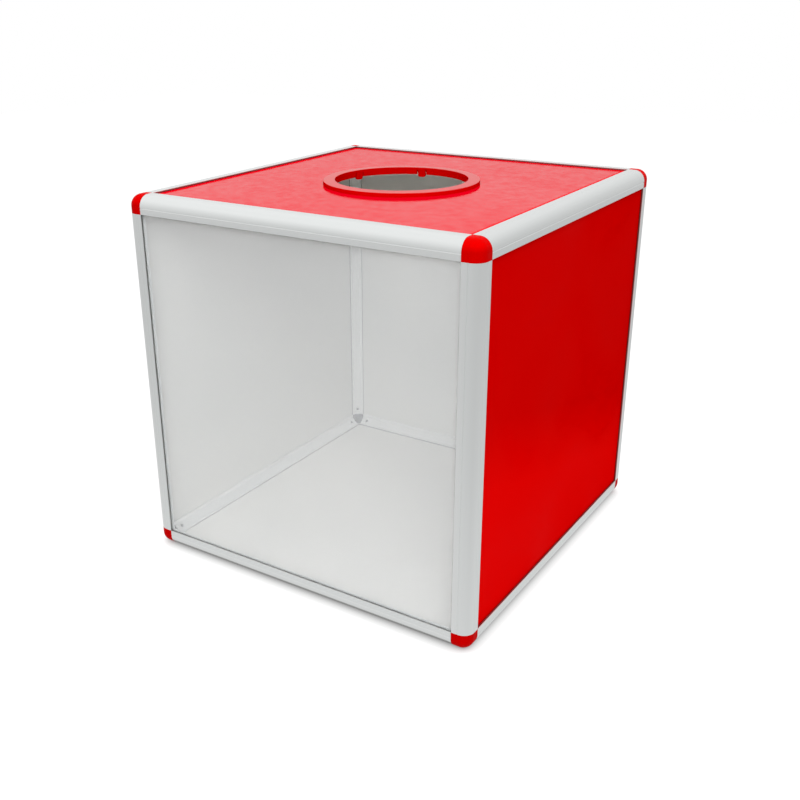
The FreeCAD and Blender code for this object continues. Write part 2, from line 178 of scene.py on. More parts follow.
world = bpy.data.worlds.new("studio")
bpy.context.scene.world = world
add = new_tree(world)
direction = add("ShaderNodeSeparateXYZ", {"Vector": add("ShaderNodeTexCoord").outputs["Generated"]}).outputs


def whites(rises, upward, rightward):
    """White surroundings, with a strength that changes upward and rightward."""
    by_height = span(add, direction["Z"], *rises, *upward)
    by_side = span(add, direction["X"], *LEFT_TO_RIGHT, *rightward)
    strength = calc(add, "MULTIPLY", by_height, by_side)
    return add("ShaderNodeBackground", {"Color": WHITE, "Strength": strength}).outputs[0]


light = whites(LIGHT_RISES, LIGHT_UPWARD, LIGHT_RIGHTWARD)
mirrored = whites(MIRROR_RISES, MIRROR_UPWARD, MIRROR_RIGHTWARD)
white = add("ShaderNodeBackground", {"Color": WHITE, "Strength": 1.0}).outputs[0]
rays = add("ShaderNodeLightPath").outputs
lit = mix_shader(add, rays["Is Glossy Ray"], light, mirrored)
shows_white = calc(add, "MAXIMUM", rays["Is Camera Ray"], rays["Is Transmission Ray"])
add("ShaderNodeOutputWorld", {"Surface": mix_shader(add, shows_white, lit, white)})
print("light", LIGHT_UPWARD, "from the horizon up, mirrored as", MIRROR_UPWARD)

# %% [markdown]
# The lamps
#
# Two wide, soft lamps shape the box: one hangs over it, and one stands in front of the window, to the
# right. The surroundings alone would light it too evenly. Glossy surfaces don't mirror the lamps,
# because the photograph shows no bright squares on the metal.

# %% Two lamps
BOX_MIDDLE = (cad_low + cad_high) / 2
OVERHEAD_PLACE = (0.0, 0.1, 1.5)
OVERHEAD_WIDTH = 1.4
OVERHEAD_WATTS = 7.4
FRONT_PLACE = (0.6, -1.05, 1.0)
FRONT_WIDTH = 0.7
FRONT_WATTS = 10


def square_lamp(name, place, width, watts):
    """A square lamp that faces the middle of the box."""
    data = bpy.data.lights.new(name, "AREA")
    data.size = width
    data.energy = watts
    lamp = bpy.data.objects.new(name, data)
    lamp.location = place
    lamp.rotation_euler = (BOX_MIDDLE - Vector(place)).to_track_quat("-Z", "Y").to_euler()
    lamp.visible_glossy = False
    bpy.context.scene.collection.objects.link(lamp)
    print(name, watts, "W")


square_lamp("overhead_lamp", OVERHEAD_PLACE, OVERHEAD_WIDTH, OVERHEAD_WATTS)
square_lamp("front_lamp", FRONT_PLACE, FRONT_WIDTH, FRONT_WATTS)

# %% [markdown]
# The floor
#
# The floor is a sheet of white paper. Its light on the box is that of a plain matt surface. What the
# camera sees of it has to be as white as the background, down to the narrow shadow around the foot
# of the box. More light would do that, but it would bleach the box as well, so for the camera most
# of the paper's light is a glow of its own. An Ambient Occlusion node dims the glow in the shadow: it
# says how much of the space above a point is free within about a centimetre. Its normal leans to the
# left, so that the shadow falls to the right, as in the photograph. What glossy surfaces mirror of
# the paper fades with the distance from the box, because the lamps light only its middle.

# %% The sheet
FLOOR_HALF = 3.0

floor_mesh = bpy.data.meshes.new("floor")
corners = [(x * FLOOR_HALF, y * FLOOR_HALF, 0) for x, y in ((-1, -1), (1, -1), (1, 1), (-1, 1))]
floor_mesh.from_pydata(corners, [], [(0, 1, 2, 3)])
floor = bpy.data.objects.new("floor", floor_mesh)
bpy.context.scene.collection.objects.link(floor)
print("floor", 2 * FLOOR_HALF, "m wide")

# %% A helper that measures vectors
def vector_number(add, operation, *vectors):
    """The output of a Vector Math node that gives a number, such as a length."""
    return add("ShaderNodeVectorMath", dict(enumerate(vectors)), operation=operation).outputs["Value"]


print("helper for distances and angles: vector_number")

# %% White paper
PAPER = (0.8, 0.8, 0.8, 1)
PAPER_FOR_CAMERA = (0.2, 0.2, 0.2, 1)
SHADOW_REACH = 13.5 * MM
SHADOW_LEAN = (-0.34, 0.1, 0.93)
FREE_SPACE = (0.05, 0.78)
GLOW = (0.22, 0.9)
MIRRORED_FREE_SPACE = (0.0, 0.6)
MIRRORED_SHADOW = (0.7, 1.0)
BRIGHTEST = (-0.06, 0, 0)
PAPER_RADII = (0.2, 0.75)
MIRRORED_PAPER = (0.86, 0.69)

floor_paper = bpy.data.materials.new("floor_paper")
add = new_tree(floor_paper)
occlusion = add("ShaderNodeAmbientOcclusion", {"Distance": SHADOW_REACH, "Normal": SHADOW_LEAN}, samples=16)
free = occlusion.outputs["AO"]
paper = add("ShaderNodeBsdfDiffuse", {"Color": PAPER}).outputs[0]
thin_paper = add("ShaderNodeBsdfDiffuse", {"Color": PAPER_FOR_CAMERA}).outputs[0]
glow = add("ShaderNodeEmission", {"Color": WHITE, "Strength": span(add, free, *FREE_SPACE, *GLOW)})
seen = add("ShaderNodeAddShader", {0: thin_paper, 1: glow.outputs[0]}).outputs[0]
away = vector_number(add, "DISTANCE", add("ShaderNodeTexCoord").outputs["Object"], BRIGHTEST)
fading = span(add, away, *PAPER_RADII, *MIRRORED_PAPER)
shaded = calc(add, "MULTIPLY", fading, span(add, free, *MIRRORED_FREE_SPACE, *MIRRORED_SHADOW))
mirrored = add("ShaderNodeEmission", {"Color": WHITE, "Strength": shaded}).outputs[0]
rays = add("ShaderNodeLightPath").outputs
lit = mix_shader(add, rays["Is Glossy Ray"], paper, mirrored)
add("ShaderNodeOutputMaterial", {"Surface": mix_shader(add, rays["Is Camera Ray"], lit, seen)})
floor_mesh.materials.append(floor_paper)
print(floor_paper.name, "on the floor")

# %% [markdown]
# Effects that several finishes share
#
# Each one is a shader node group with named inputs, built once and set to its own values in each
# material. A group only measures the surface: it puts out masks, heights and normals. The Principled
# shader that uses them stays in the material, where its gloss can be set for that finish.

# %% Helpers that start a group, and add noise to it
NOWHERE = (0.0, 0.0, 0.0)


def new_group(name, inputs, outputs):
    """An empty shader node group. Inputs have default values, and outputs have socket types."""
    tree = bpy.data.node_groups.new(name, "ShaderNodeTree")
    for title, default in inputs.items():
        kind = "NodeSocketVector" if isinstance(default, tuple) else "NodeSocketFloat"
        tree.interface.new_socket(title, in_out="INPUT", socket_type=kind).default_value = default
    for title, kind in outputs.items():
        tree.interface.new_socket(title, in_out="OUTPUT", socket_type="NodeSocket" + kind)
    print("group", name, "with", ", ".join(inputs))
    add = adder(tree)
    return tree, add, add("NodeGroupInput").outputs


def noise(add, place, scale, detail, **inputs):
    """The value of a Noise Texture."""
    return add("ShaderNodeTexNoise", {
        "Vector": place, "Scale": scale, "Detail": detail, **inputs,
    }).outputs["Fac"]


print("helpers for groups: new_group, noise")

# %% [markdown]
# Worn edges, and a painted highlight
#
# Handling polishes an edge, so it catches the light. On the aluminium, the paler colour that this
# edge brings is partly that wear and partly a painted highlight. The edges could be rounded in the
# mesh, but a Bevel node does it in the shading alone: it gives the normal that the surface would have
# with its edges rounded, and where that differs from the true normal there is an edge. The same
# rounded normal also takes the hard computer look from the edges.

# %% The group for worn edges and painted highlights
BENDS = (0.995, 0.8)
PATCH_SCALE = 90.0

edge_group, add, given = new_group(
    "worn_and_highlit_edges", {"Radius": 0.4 * MM, "Unevenness": 0.3, "Vector": NOWHERE},
    {"Edge": "Float", "Normal": "Vector"})
rounded = add("ShaderNodeBevel", {"Radius": given["Radius"]}, samples=6).outputs[0]
true_normal = add("ShaderNodeNewGeometry").outputs["Normal"]
bend = span(add, vector_number(add, "DOT_PRODUCT", rounded, true_normal), *BENDS, 0.0, 1.0)
patches = noise(add, given["Vector"], PATCH_SCALE, detail=3.0)
rubbed = calc(add, "SUBTRACT", 1.0, calc(add, "MULTIPLY", given["Unevenness"], patches))
add("NodeGroupOutput", {"Edge": calc(add, "MULTIPLY", bend, rubbed), "Normal": rounded})

# %% [markdown]
# Grain
#
# Moulded plastic, foamed board and laminate aren't smooth from close by. One noise would look the
# same from near and far, so there are two, one fine and one eight times coarser. Together they give
# the height of the grain, and the coarse one alone gives a slow drift of tone.

# %% The group for grain
COARSER = 8

grain_group, add, given = new_group(
    "fine_grain", {"Vector": NOWHERE, "Scale": 1000.0, "Coarse share": 0.4},
    {"Height": "Float", "Tone": "Float"})
fine = noise(add, given["Vector"], given["Scale"], detail=2.0)
coarse = noise(add, given["Vector"], calc(add, "DIVIDE", given["Scale"], COARSER), detail=3.0)
both = add("ShaderNodeMix", {0: given["Coarse share"], 2: fine, 3: coarse}, data_type="FLOAT").outputs[0]
add("NodeGroupOutput", {"Height": both, "Tone": coarse})

# %% [markdown]
# Drawn lines
#
# An extruded profile carries fine straight lines from the die, all along its length. Stripes would
# come out too even. A noise that is stretched a hundredfold along the profile gives the lines of the
# real metal. The stretch is an input, because four of the lengths run along X, four along Y and four
# along Z.

# %% The group for drawn lines
def vector_calc(add, operation, *vectors):
    """The output of a Vector Math node that gives a vector."""
    return add("ShaderNodeVectorMath", dict(enumerate(vectors)), operation=operation).outputs["Vector"]


line_group, add, given = new_group(
    "drawn_lines", {"Vector": NOWHERE, "Squeeze": (1.0, 1.0, 1.0), "Scale": 900.0},
    {"Lines": "Float", "Bands": "Float"})
squeezed = vector_calc(add, "MULTIPLY", given["Vector"], given["Squeeze"])
lines = noise(add, squeezed, given["Scale"], detail=4.0, Roughness=0.65)
bands = noise(add, squeezed, calc(add, "DIVIDE", given["Scale"], COARSER), detail=2.0)
add("NodeGroupOutput", {"Lines": lines, "Bands": bands})

# %% [markdown]
# Shade in the gaps
#
# Narrow gaps, such as the slot beside a lip, stay dark, because little light finds its way in. The
# group paints that shade. An Ambient Occlusion node measures how closed in a point is, but by itself
# it darkens every corner of the box. A second measure, the depth below the nearest outer face, keeps
# the painted shade to two places. One is the slot side of the outer lips, below the shallow grooves,
# and there it is lighter on what looks up into the light. The other is the ends of the inner lips,
# unless they are close to the window or look up into the light. The group also tells what is inside
# the box. For pieces that lie elsewhere, such as the screws, the second measure can be left out.

# %% How deep a place lies, and how far it looks up
box_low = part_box("corner_cap_bottom_front_left")[0]
box_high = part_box("corner_cap_top_back_right")[1]


def depths_in_box(add, place):
    """How far a place lies below the nearest outer face of the box, along X, Y and Z."""
    from_middle = vector_calc(add, "SUBTRACT", place, (box_low + box_high) / 2)
    reached = vector_calc(add, "ABSOLUTE", from_middle)
    depths = vector_calc(add, "SUBTRACT", (box_high - box_low) / 2, reached)
    return add("ShaderNodeSeparateXYZ", {"Vector": depths}).outputs


def facing_up(add):
    """How far a surface looks up: the Z of its normal."""
    normal = add("ShaderNodeTexCoord").outputs["Normal"]
    return add("ShaderNodeSeparateXYZ", {"Vector": normal}).outputs["Z"]


print("box", in_mm(box_high - box_low), "mm without the collar")

# %% The group for shade in the gaps
GROOVES_END = (0.35 * MM, 0.7 * MM)
INSIDE_STARTS = (4.0 * MM, 4.8 * MM)
INNER_LIPS_START = (5.15 * MM, 5.25 * MM)
INNER_LIPS_END = (6.1 * MM, 6.2 * MM)
BEHIND_WINDOW = (-140 * MM, -120 * MM)
LOOKING_UP = (0.5, 0.9)
SHADE_LOOKING_UP = 0.8

gap_group, add, given = new_group(
    "gap_shade", {"Vector": NOWHERE, "Reach": 3 * MM, "Closed": 0.35, "Open": 0.8, "Anywhere": 0.0},
    {"Openness": "Float", "Inside": "Float"})
free = add("ShaderNodeAmbientOcclusion", {"Distance": given["Reach"]}, samples=8).outputs["AO"]
closed_in = span(add, free, given["Closed"], given["Open"], 1.0, 0.0)
depths = depths_in_box(add, given["Vector"])
depth = calc(add, "MINIMUM", calc(add, "MINIMUM", depths["X"], depths["Y"]), depths["Z"])
inside = span(add, depth, *INSIDE_STARTS, 0.0, 1.0)
up = facing_up(add)
at_slot = calc(add, "SUBTRACT", span(add, depth, *GROOVES_END, 0.0, 1.0), inside)
# The painted shade is lighter on faces that look up, where the light falls.
outer = calc(add, "MULTIPLY", at_slot, span(add, up, *LOOKING_UP, 1.0, SHADE_LOOKING_UP))
before_end = span(add, depth, *INNER_LIPS_END, 1.0, 0.0)
at_lip = calc(add, "MULTIPLY", span(add, depth, *INNER_LIPS_START, 0.0, 1.0), before_end)
from_front = add("ShaderNodeSeparateXYZ", {"Vector": given["Vector"]}).outputs["Y"]
far_in = calc(add, "MULTIPLY", at_lip, span(add, from_front, *BEHIND_WINDOW, 0.0, 1.0))
inner = calc(add, "MULTIPLY", far_in, span(add, up, *LOOKING_UP, 1.0, 0.0))
share = calc(add, "MAXIMUM", calc(add, "MAXIMUM", outer, inner), given["Anywhere"])
shade = calc(add, "MULTIPLY", closed_in, share)
add("NodeGroupOutput", {"Openness": calc(add, "SUBTRACT", 1.0, shade), "Inside": inside})

# %% [markdown]
# Rubbed haze
#
# Wiping and handling leave faint cloudy patches and hair-fine scratches on a polished sheet. They are
# only seen where something bright is mirrored, so they go to the gloss and not to the colour. The
# scratches are a noise that is stretched and tilted, because drawn ones would repeat.

# %% The group for rubbed haze
CLOUD_EDGES = (0.35, 0.7)
HAIR_EDGES = (0.68, 0.74)
HAIR_SCALE = 14.0
HAIR_TILT = (0.5, 0.9, 0.4)
HAIR_STRETCH = (1.0, 40.0, 40.0)

haze_group, add, given = new_group(
    "rubbed_haze", {"Vector": NOWHERE, "Scale": 12.0}, {"Clouds": "Float", "Scratches": "Float"})
clouds = noise(add, given["Vector"], given["Scale"], detail=6.0, Roughness=0.55, Distortion=0.6)
tilted = add("ShaderNodeMapping", {
    "Vector": given["Vector"], "Rotation": HAIR_TILT, "Scale": HAIR_STRETCH,
}).outputs[0]
hairs = noise(add, tilted, HAIR_SCALE, detail=5.0)
add("NodeGroupOutput", {
    "Clouds": span(add, clouds, *CLOUD_EDGES, 0.0, 1.0), "Scratches": span(add, hairs, *HAIR_EDGES, 0.0, 1.0),
})

# %% [markdown]
# Finishes
#
# Every finish is a material that starts and ends in the same way. It reads the place on the piece in
# Object coordinates, so a pattern has its real size on every piece. Its values drift with a noise
# between two ends, because no real surface has one colour and one gloss all over.

# %% Helpers that start and end a finish
def new_finish(name):
    """A new material, the function that adds to it, and the place on the piece that it reads."""
    material = bpy.data.materials.new(name)
    add = new_tree(material)
    return material, add, add("ShaderNodeTexCoord").outputs["Object"]


def spaced(inputs):
    """Inputs by their names, with the underscores made spaces."""
    return {name.replace("_", " "): given for name, given in inputs.items()}


def finish_with(add, **inputs):
    """The Principled shader and the output of a finish."""
    shader = add("ShaderNodeBsdfPrincipled", spaced(inputs)).outputs[0]
    add("ShaderNodeOutputMaterial", {"Surface": shader})


def dress(material, *names):
    """Gives every material slot of some nodes the finish."""
    for name in names:
        for slot in nodes[name].material_slots:
            slot.material = material
    print(material.name, "dresses", len(names), "of the pieces")


print("helpers for a whole finish: new_finish, spaced, finish_with, dress")

# %% Helpers for what lies between
NOISE_RANGE = (0.3, 0.7)


def effect(add, group, place, **inputs):
    """What a shared effect puts out at a place, with its inputs set for this finish."""
    return add("ShaderNodeGroup", {"Vector": place, **spaced(inputs)}, node_tree=group).outputs


def drift(add, pattern, low, high):
    """A value that drifts between two others with a noise."""
    return span(add, pattern, *NOISE_RANGE, low, high)


def mix_color(add, factor, first, second):
    """Two colours mixed by a factor."""
    return add("ShaderNodeMix", {0: factor, 6: first, 7: second}, data_type="RGBA").outputs[2]


def bump(add, height, depth, **inputs):
    """A normal that follows a height, as deep as its real size."""
    return add("ShaderNodeBump", {"Height": height, "Distance": depth, **inputs}).outputs[0]


print("helpers inside a finish: effect, drift, mix_color, bump")

# %% [markdown]
# Satin anodised aluminium
#
# The edge profiles are extruded, and anodised to a pale, silky grey. One grey metal would do from
# afar, but its lips and cut ends are polished, and they are painted nearly white, partly for that wear
# and partly as a painted highlight. Its slots are painted dark: a painted shade. Inside the box the
# anodising is untouched: it is chalky and pale, and less metallic. The drawn lines give the metal its
# silk: they drift the roughness a little, and press a height of a few thousandths of a millimetre
# into the normal.

# %% Aluminium for the lengths along each axis
ALUMINIUM = ((0.75, 0.77, 0.765, 1), (0.78, 0.795, 0.79, 1))
UNTOUCHED = (0.86, 0.86, 0.84, 1)
POLISHED_HIGHLIGHT = (0.97, 1.0, 1.0, 1)
SLOT_SHADE_GREY = (0.20, 0.20, 0.19, 1)
METAL_OUTSIDE = 1.0
METAL_INSIDE = 0.3
GRAIN_IN_LINES = 0.4
ALONG = 0.01
SQUEEZE = {"x": (ALONG, 1, 1), "y": (1, ALONG, 1), "z": (1, 1, ALONG)}


def make_aluminium(axis):
    """The finish of the profiles that run along one axis."""
    material, add, place = new_finish("aluminium_along_" + axis)
    drawn = effect(add, line_group, place, Squeeze=SQUEEZE[axis])
    grain = effect(add, grain_group, place, Scale=2600.0)
    edge = effect(add, edge_group, place, Radius=0.3 * MM)
    gap = effect(add, gap_group, place, Reach=8 * MM, Closed=0.6, Open=0.9)
    handled = mix_color(add, drift(add, drawn["Bands"], 0.0, 1.0), *ALUMINIUM)
    body = mix_color(add, gap["Inside"], handled, UNTOUCHED)
    # The edges go nearly white: partly polish, partly a painted highlight.
    bright_edged = mix_color(add, edge["Edge"], body, POLISHED_HIGHLIGHT)
    # The slots go dark grey: painted shade.
    color = mix_color(add, gap["Openness"], SLOT_SHADE_GREY, bright_edged)
    metallic = span(add, gap["Inside"], 0.0, 1.0, METAL_OUTSIDE, METAL_INSIDE)
    roughness = drift(add, drawn["Lines"], 0.36, 0.44)
    height = calc(add, "ADD", drawn["Lines"], calc(add, "MULTIPLY", grain["Height"], GRAIN_IN_LINES))
    normal = bump(add, height, 0.006 * MM, Strength=0.8, Normal=edge["Normal"])
    finish_with(add, Base_Color=color, Metallic=metallic, Roughness=roughness, Normal=normal)
    return material


RUNS_ALONG = {"front": "x", "back": "x", "left": "y", "right": "y"}
aluminium = {axis: make_aluminium(axis) for axis in "xyz"}
for side, axis in RUNS_ALONG.items():
    dress(aluminium[axis], "rail_bottom_" + side, "rail_top_" + side)
dress(aluminium["z"], *[name for name in nodes if name.startswith("post")])

# %% [markdown]
# Red moulded caps
#
# The corner caps are injection moulded in a pure red. A moulded skin is glossy but a little uneven,
# like orange peel, and its sharp rims are rubbed paler. The domes that face the light get a lighter
# red, a painted light, and their sides stay deeper. A plain glossy plastic would mirror white and
# turn the caps pink, so the mirrored light is kept weak, and its tint is red too.

# %% The caps' finish
CAP_REDS = ((0.46, 0.0, 0.0, 1), (0.52, 0.0, 0.0, 1))
LIT_TOP_RED = (0.63, 0.0, 0.0, 1)
LIT_FACES = (0.15, 0.55)
RUBBED_RED = (0.95, 0.02, 0.01, 1)
RUBBED_SHARE = 0.3

cap_red, add, place = new_finish("cap_red")
peel = effect(add, grain_group, place, Scale=1500.0, Coarse_share=0.6)
edge = effect(add, edge_group, place, Radius=0.35 * MM)
tone = mix_color(add, peel["Tone"], *CAP_REDS)
# Faces that look up get a lighter red: painted light.
base = mix_color(add, span(add, facing_up(add), *LIT_FACES, 0.0, 1.0), tone, LIT_TOP_RED)
color = mix_color(add, calc(add, "MULTIPLY", edge["Edge"], RUBBED_SHARE), base, RUBBED_RED)
roughness = drift(add, peel["Tone"], 0.3, 0.4)
normal = bump(add, peel["Height"], 0.012 * MM, Normal=edge["Normal"])
finish_with(add, Base_Color=color, Roughness=roughness, Specular_IOR_Level=0.008,
            Specular_Tint=(1, 0.05, 0.03, 1), Normal=normal)
dress(cap_red, *[name for name in nodes if name.startswith("corner_cap")])

# %% [markdown]
# Red laminate
#
# Each board has a thin red plastic skin. From straight on it is a deep, even red, and at a grazing
# angle, as on the top, it mirrors the white room and turns pink. That pink could be painted, but then
# it would stay in every view, so a coat over the matt red gives the gloss. Its weight is below one,
# because the photograph shows half the mirror of a clear varnish. The skin follows the board's slight
# unevenness, and the gloss varies with it, which mottles the pink. A few millimetres before the
# profiles' lips the coat stops and a brighter pure red is set there: a painted reflection of the
# lips' shaded walls. On the sides the coat is rubbed away to a few soft clouds. There a painted shade
# darkens the red close to the lips, and a painted light makes it lighter low down, where it faces the
# white paper.

# %% The laminate's finish
FACING_PAPER = (0, 0.26, 1)
PAPER_FADE = (85 * MM, 140 * MM)
PURE_RED = (0.76, 0.0, 0.008, 1)
SCRATCHED_LAMINATE = 0.1


def make_laminate(name, reds, red_in_painted_shade, coat_starts, coats, unevenness):
    """Laminate whose red and whose coat drift between two values, with a painted shade red in the gaps."""
    material, add, place = new_finish(name)
    mottle = effect(add, grain_group, place, Scale=1200.0, Coarse_share=0.8)
    haze = effect(add, haze_group, place, Scale=9.0)
    gap = effect(add, gap_group, place, Reach=6 * MM, Closed=0.3, Open=0.96)
    depths = depths_in_box(add, place)
    # Near the lips the coat is left off and a brighter red is set: a painted reflection of the lips' shaded
    # walls.
    away_from_lips = span(add, calc(add, "MINIMUM", depths["X"], depths["Y"]), *coat_starts, 0.0, 1.0)
    from_paper = vector_number(add, "DOT_PRODUCT", place, FACING_PAPER)
    # Low down the red is lighter: painted light from the white paper.
    paper_lit = mix_color(add, span(add, from_paper, *PAPER_FADE, 1.0, 0.0), *reds)
    with_reflection_strip = mix_color(add, away_from_lips, PURE_RED, paper_lit)
    # Close to the lips the red goes darker: painted shade.
    color = mix_color(add, gap["Openness"], red_in_painted_shade, with_reflection_strip)
    smooth = drift(add, mottle["Tone"], 0.07, 0.11)
    roughness = calc(add, "ADD", smooth, calc(add, "MULTIPLY", haze["Scratches"], SCRATCHED_LAMINATE))
    clouded = span(add, haze["Clouds"], 0.0, 1.0, *coats)
    varied = calc(add, "MULTIPLY", clouded, drift(add, mottle["Tone"], 0.8, 1.2))
    coat = calc(add, "MULTIPLY", varied, away_from_lips)
    normal = bump(add, mottle["Height"], unevenness)
    finish_with(add, Base_Color=color, Roughness=roughness, Specular_IOR_Level=0.0, Coat_Weight=coat,
                Coat_Roughness=0.08, Coat_Normal=normal, Normal=normal)
    return material


print("the paper's light on the sides fades between", in_mm(PAPER_FADE), "mm")

# %% The glossy top, and the rubbed sides
PINKISH_RED = (0.675, 0.0, 0.01, 1)
DEEP_RED = (0.55, 0.0, 0.0, 1)
RED_LIT_BY_PAPER = (0.70, 0.0, 0.0, 1)
SIDE_SHADE_RED = (0.25, 0.0, 0.0, 1)
NEAR_LIPS = (17.4 * MM, 20.4 * MM)
EVERYWHERE = (-1 * MM, 0)
TOP_COATS = (0.48, 0.56)
SIDE_COATS = (0.0, 0.02)
TOP_UNEVENNESS = 0.1 * MM
SIDE_UNEVENNESS = 0.01 * MM

top_laminate = make_laminate(
    "laminate_top", (PINKISH_RED, PINKISH_RED), PURE_RED, NEAR_LIPS, TOP_COATS, TOP_UNEVENNESS)
side_laminate = make_laminate(
    "laminate_side", (DEEP_RED, RED_LIT_BY_PAPER), SIDE_SHADE_RED, EVERYWHERE, SIDE_COATS, SIDE_UNEVENNESS)
dress(top_laminate, "top_skin")
dress(side_laminate, "left_skin", "right_skin", "back_skin", "bottom_skin")

# %% [markdown]
# Light grey board
#
# Inside, the boards show their own face: a foamed sheet with a fine matt grain, and a tone that
# drifts a little across the sheet. One grey for all of them would do in even light, but in the
# photograph the walls are a little greyer than the floor, because less light falls on them, so the
# colour also follows the way that a face looks: the walls get a painted shade.

# %% The boards' finish
BOARD_FLOOR = ((0.79, 0.77, 0.73, 1), (0.84, 0.82, 0.775, 1))
BOARD_WALL_SHADED = (0.745, 0.73, 0.69, 1)
WALL_TO_FLOOR = (0.2, 0.8)

board_grey, add, place = new_finish("board_grey")
grain = effect(add, grain_group, place, Scale=1400.0, Coarse_share=0.35)
bare = mix_color(add, drift(add, grain["Tone"], 0.0, 1.0), *BOARD_FLOOR)
# Faces that don't look up get a darker grey: painted shade.
color = mix_color(add, span(add, facing_up(add), *WALL_TO_FLOOR, 0.0, 1.0), BOARD_WALL_SHADED, bare)
roughness = drift(add, grain["Tone"], 0.55, 0.7)
normal = bump(add, grain["Height"], 0.005 * MM)
finish_with(add, Base_Color=color, Roughness=roughness, Specular_IOR_Level=0.3, Normal=normal)
dress(board_grey, *[name for name in nodes if name.endswith("_board")])

# %% [markdown]
# The clear window
#
# The window is cast acrylic, 3 mm thick. Thin panes are often faked with a see-through colour, but
# this one shows its gloss and its edges, so the shader transmits light and bends it as acrylic does.
# In the photograph everything behind the window is a little milky, so a fifth of the transmission is
# left out, and the white base colour shows there instead. A painted shadow darkens it in a thin line
# along the profiles' lips. Rays that carry shadow pass straight through, or the box would be dark inside.

# %% The window's finish
MILKY_WHITES = ((0.91, 0.925, 0.94, 1), (0.94, 0.95, 0.965, 1))
LIP_SHADOW_GREY = (0.25, 0.26, 0.23, 1)
LET_THROUGH = (0.95, 0.96, 0.96, 1)
ACRYLIC_IOR = 1.49
WIPED_ROUGHNESS = 0.03
SCRATCHED_ROUGHNESS = 0.08

window_clear, add, place = new_finish("window_clear")
haze = effect(add, haze_group, place, Scale=7.0)
edge = effect(add, edge_group, place, Radius=0.3 * MM)
gap = effect(add, gap_group, place, Reach=0.7 * MM, Closed=0.5, Open=0.9)
milky = mix_color(add, haze["Clouds"], *MILKY_WHITES)
# Along the lips the white goes dark grey: a painted shadow.
color = mix_color(add, gap["Openness"], LIP_SHADOW_GREY, milky)
wiped = calc(add, "MULTIPLY", haze["Clouds"], WIPED_ROUGHNESS)
roughness = calc(add, "ADD", wiped, calc(add, "MULTIPLY", haze["Scratches"], SCRATCHED_ROUGHNESS))
sheet = add("ShaderNodeBsdfPrincipled", {
    "Base Color": color, "Roughness": roughness, "IOR": ACRYLIC_IOR, "Transmission Weight": 0.8,
    "Normal": edge["Normal"],
}).outputs[0]
clear_way = add("ShaderNodeBsdfTransparent", {"Color": LET_THROUGH}).outputs[0]
is_shadow = add("ShaderNodeLightPath").outputs["Is Shadow Ray"]
add("ShaderNodeOutputMaterial", {"Surface": mix_shader(add, is_shadow, sheet, clear_way)})
dress(window_clear, "front_window")

# %% [markdown]
# The collar
#
# The hand hole's collar is moulded in the same red. Its top has a soft sheen with fine rings around
# the hole, and goes pale at a grazing angle. The rings could be cut into the mesh, but they are finer
# than any edge of it, so a noise that is read by the distance from the hole's middle gives them. The
# sheen is a rough coat, kept to the faces that look up by the Z of the normal: the rim and the wall
# of the hole stay a pure, matt red.

# %% The collar's finish
COLLAR_REDS = ((0.54, 0.0, 0.0, 1), (0.62, 0.0, 0.0, 1))
SHEEN_RED = (0.58, 0.0, 0.0, 1)
TOP_FACES = (0.6, 0.95)
GRAIN_IN_RINGS = 0.7
LEVEL = (1, 1, 0)

collar_red, add, place = new_finish("collar_red")
from_hole = vector_number(add, "LENGTH", vector_calc(add, "MULTIPLY", place, LEVEL))
outwards = add("ShaderNodeCombineXYZ", {"X": from_hole}).outputs[0]
rings = effect(add, grain_group, outwards, Scale=2200.0, Coarse_share=0.3)
grain = effect(add, grain_group, place, Scale=1800.0)
edge = effect(add, edge_group, place, Radius=0.35 * MM)
top = span(add, facing_up(add), *TOP_FACES, 0.0, 1.0)
base = mix_color(add, top, mix_color(add, grain["Tone"], *COLLAR_REDS), SHEEN_RED)
color = mix_color(add, calc(add, "MULTIPLY", edge["Edge"], RUBBED_SHARE), base, RUBBED_RED)
roughness = drift(add, rings["Height"], 0.44, 0.54)
height = calc(add, "ADD", rings["Height"], calc(add, "MULTIPLY", grain["Height"], GRAIN_IN_RINGS))
normal = bump(add, height, 0.02 * MM, Normal=edge["Normal"])
finish_with(add, Base_Color=color, Roughness=roughness, Specular_IOR_Level=0.0, Coat_Weight=top,
            Coat_Roughness=0.3, Coat_Normal=normal, Normal=normal)
dress(collar_red, "hand_collar")

# %% [markdown]
# Corner connectors
#
# What shows of the connectors inside the box is the end of a dark grey nylon moulding, matt and
# slightly pitted. Only small faces of it show, so the grain that the other plastics use is enough,
# with deeper pits and a plain gloss.

# %% The connectors' finish
NYLON_GREYS = ((0.04, 0.042, 0.042, 1), (0.07, 0.073, 0.073, 1))
RUBBED_NYLON = (0.16, 0.165, 0.165, 1)

connector_grey, add, place = new_finish("connector_grey")
pits = effect(add, grain_group, place, Scale=1200.0, Coarse_share=0.3)
edge = effect(add, edge_group, place, Radius=0.3 * MM)
base = mix_color(add, pits["Tone"], *NYLON_GREYS)
color = mix_color(add, edge["Edge"], base, RUBBED_NYLON)
normal = bump(add, pits["Height"], 0.05 * MM, Normal=edge["Normal"])
finish_with(add, Base_Color=color, Roughness=0.55, Specular_IOR_Level=0.4, Normal=normal)
connectors = [name for name in nodes if name.startswith("connector_") and name != "connector_screws"]
dress(connector_grey, *connectors)

# %% [markdown]
# The connector screws
#
# A small countersunk screw holds each end of each profile to its connector: twenty-four in all, with
# crossed recesses. The frame has them as plain solids, so they are made again with the recess. They
# repeat, so one screw is modelled, and Geometry Nodes set it on 24 points, which is less work than
# placing copies by hand. Each point carries the direction that its screw is driven in, and a random
# turn from a fixed seed leaves the crosses as they would be in a real box, each at its own angle.

